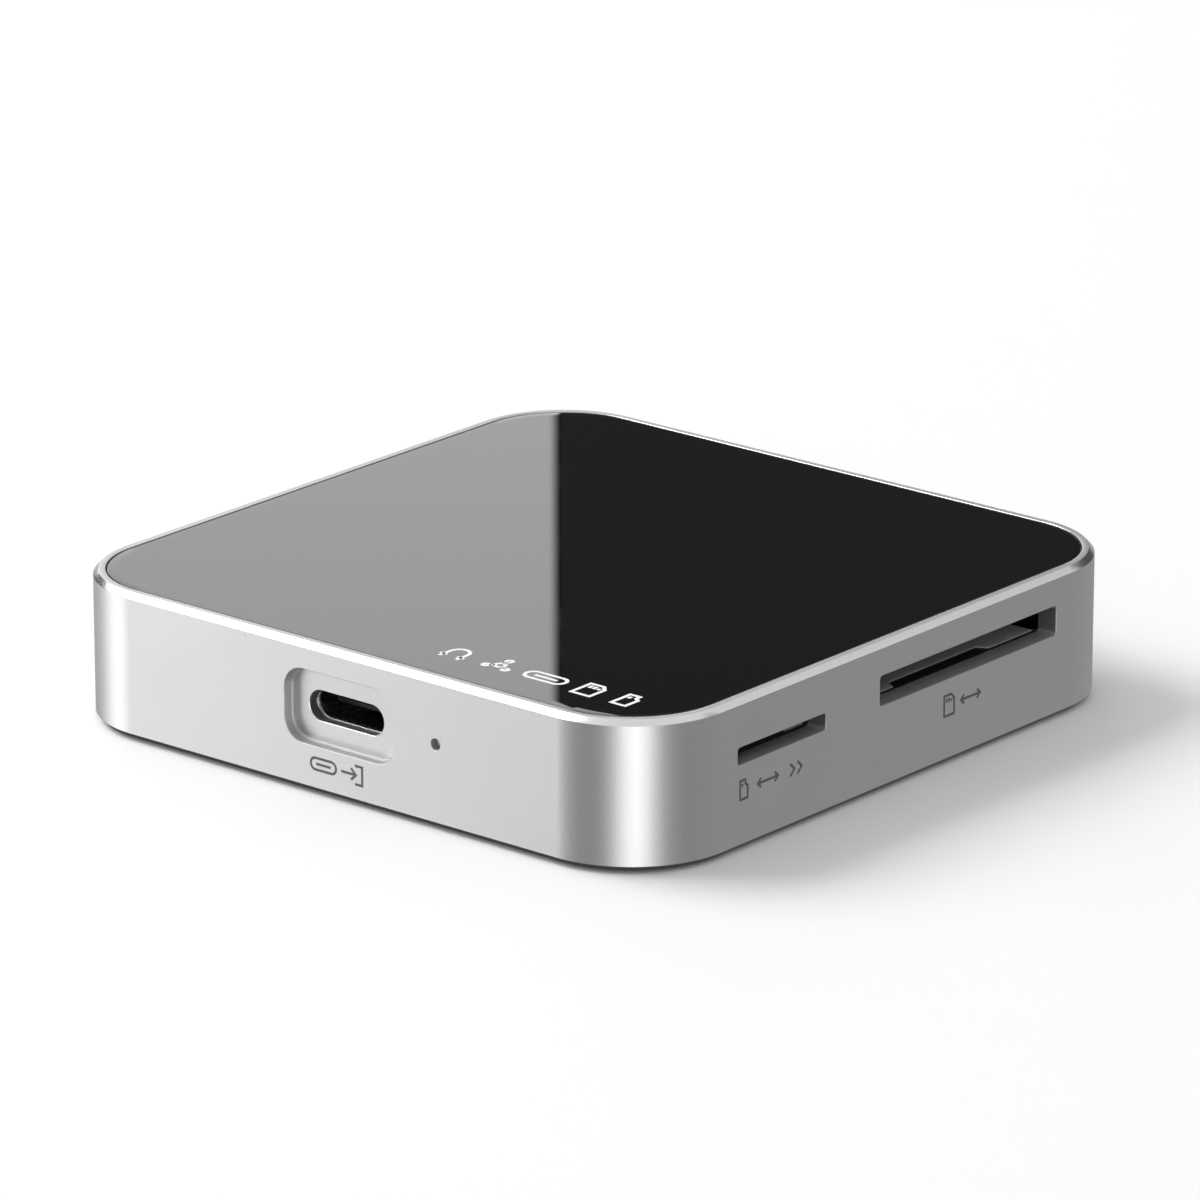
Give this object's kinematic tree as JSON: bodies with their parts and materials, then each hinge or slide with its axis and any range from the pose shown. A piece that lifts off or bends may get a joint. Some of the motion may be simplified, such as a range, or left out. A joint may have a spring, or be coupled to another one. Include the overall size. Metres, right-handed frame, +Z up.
{
  "type": "usb hub",
  "caption": "Square magnetic USB hub: aluminium frame, black glass top, USB-C and USB-A sockets, SD and microSD card readers with push-push ejectors.",
  "frame": {"origin": "centre of the base, on the surface that the feet stand on", "axes": "+Z up through the glass top, -Y towards the front face with the USB-C input, +X towards the face with the card slots"},
  "size_m": [0.07, 0.07, 0.014],
  "materials": {
    "anodised_aluminium": "fine bead blast, clear anodised",
    "black_glass": "glossy, back-printed black",
    "adhesive_tape": "black foam tape",
    "black_nylon": "moulded, glass filled",
    "nickel_plate": "nickel plated magnet",
    "shunt_steel": "rolled sheet",
    "stainless_steel": "bright stamped sheet and drawn wire",
    "gold_plate": "gold-plated spring contacts",
    "solder_mask": "green solder mask on glass-epoxy board",
    "blue_plastic": "moulded blue insulator",
    "white_nylon": "moulded natural acetal",
    "chip_resin": "moulded chip package",
    "ferrite": "pressed ferrite",
    "ceramic_case": "sintered ceramic case",
    "led_lens": "cast resin lens",
    "clear_acrylic": "moulded light pipe",
    "thermal_silicone": "soft filled silicone pad",
    "black_rubber": "moulded foot",
    "zinc_screw": "zinc-plated, cross recess"
  },
  "bodies": {
    "hub": {"bottom_cover": "anodised_aluminium", "bulk_capacitor": "ceramic_case", "card_reader_chip": "chip_resin", "carrier_adhesive": "adhesive_tape", "clock_crystal": "ceramic_case", "cover_screw_front_left": "zinc_screw", "cover_screw_front_right": "zinc_screw", "cover_screw_rear_left": "zinc_screw", "cover_screw_rear_right": "zinc_screw", "firmware_chip": "chip_resin", "foot_front_left": "black_rubber", "foot_front_right": "black_rubber", "foot_rear_left": "black_rubber", "foot_rear_right": "black_rubber", "glass_adhesive": "adhesive_tape", "housing": "anodised_aluminium", "hub_controller_chip": "chip_resin", "led_light_pipe": "clear_acrylic", "magnet_01": "nickel_plate", "magnet_02": "nickel_plate", "magnet_03": "nickel_plate", "magnet_04": "nickel_plate", "magnet_05": "nickel_plate", "magnet_06": "nickel_plate", "magnet_07": "nickel_plate", "magnet_08": "nickel_plate", "magnet_09": "nickel_plate", "magnet_10": "nickel_plate", "magnet_11": "nickel_plate", "magnet_12": "nickel_plate", "magnet_carrier": "black_nylon", "magnet_shunt_ring": "shunt_steel", "main_board": "solder_mask", "microsd_cam_link": "stainless_steel", "microsd_eject_spring": "stainless_steel", "microsd_socket_base": "black_nylon", "microsd_socket_contacts": "gold_plate", "microsd_socket_cover": "stainless_steel", "power_control_chip": "chip_resin", "power_inductor": "ferrite", "sd_cam_link": "stainless_steel", "sd_eject_spring": "stainless_steel", "sd_socket_base": "black_nylon", "sd_socket_contacts": "gold_plate", "sd_socket_cover": "stainless_steel", "status_led": "led_lens", "thermal_pad": "thermal_silicone", "top_glass": "black_glass", "usb_a_front_shell": "stainless_steel", "usb_a_front_tongue": "blue_plastic", "usb_a_rear_shell": "stainless_steel", "usb_a_rear_tongue": "blue_plastic", "usb_c_input_shell": "stainless_steel", "usb_c_input_tongue": "black_nylon", "usb_c_output_shell": "stainless_steel", "usb_c_output_tongue": "black_nylon"},
    "sd_ejector": {"sd_eject_slider": "white_nylon"},
    "microsd_ejector": {"microsd_eject_slider": "white_nylon"}
  },
  "joints": [
    {"name": "sd_eject", "type": "slide", "parent": "hub", "child": "sd_ejector", "axis": [-1, 0, 0], "range_m": [0, 0.0042], "stiffness_N_per_m": 300, "springref_m": -0.001, "deforming": ["sd_eject_spring"]},
    {"name": "microsd_eject", "type": "slide", "parent": "hub", "child": "microsd_ejector", "axis": [-1, 0, 0], "range_m": [0, 0.003], "stiffness_N_per_m": 300, "springref_m": -0.001, "deforming": ["microsd_eject_spring"]}
  ]
}
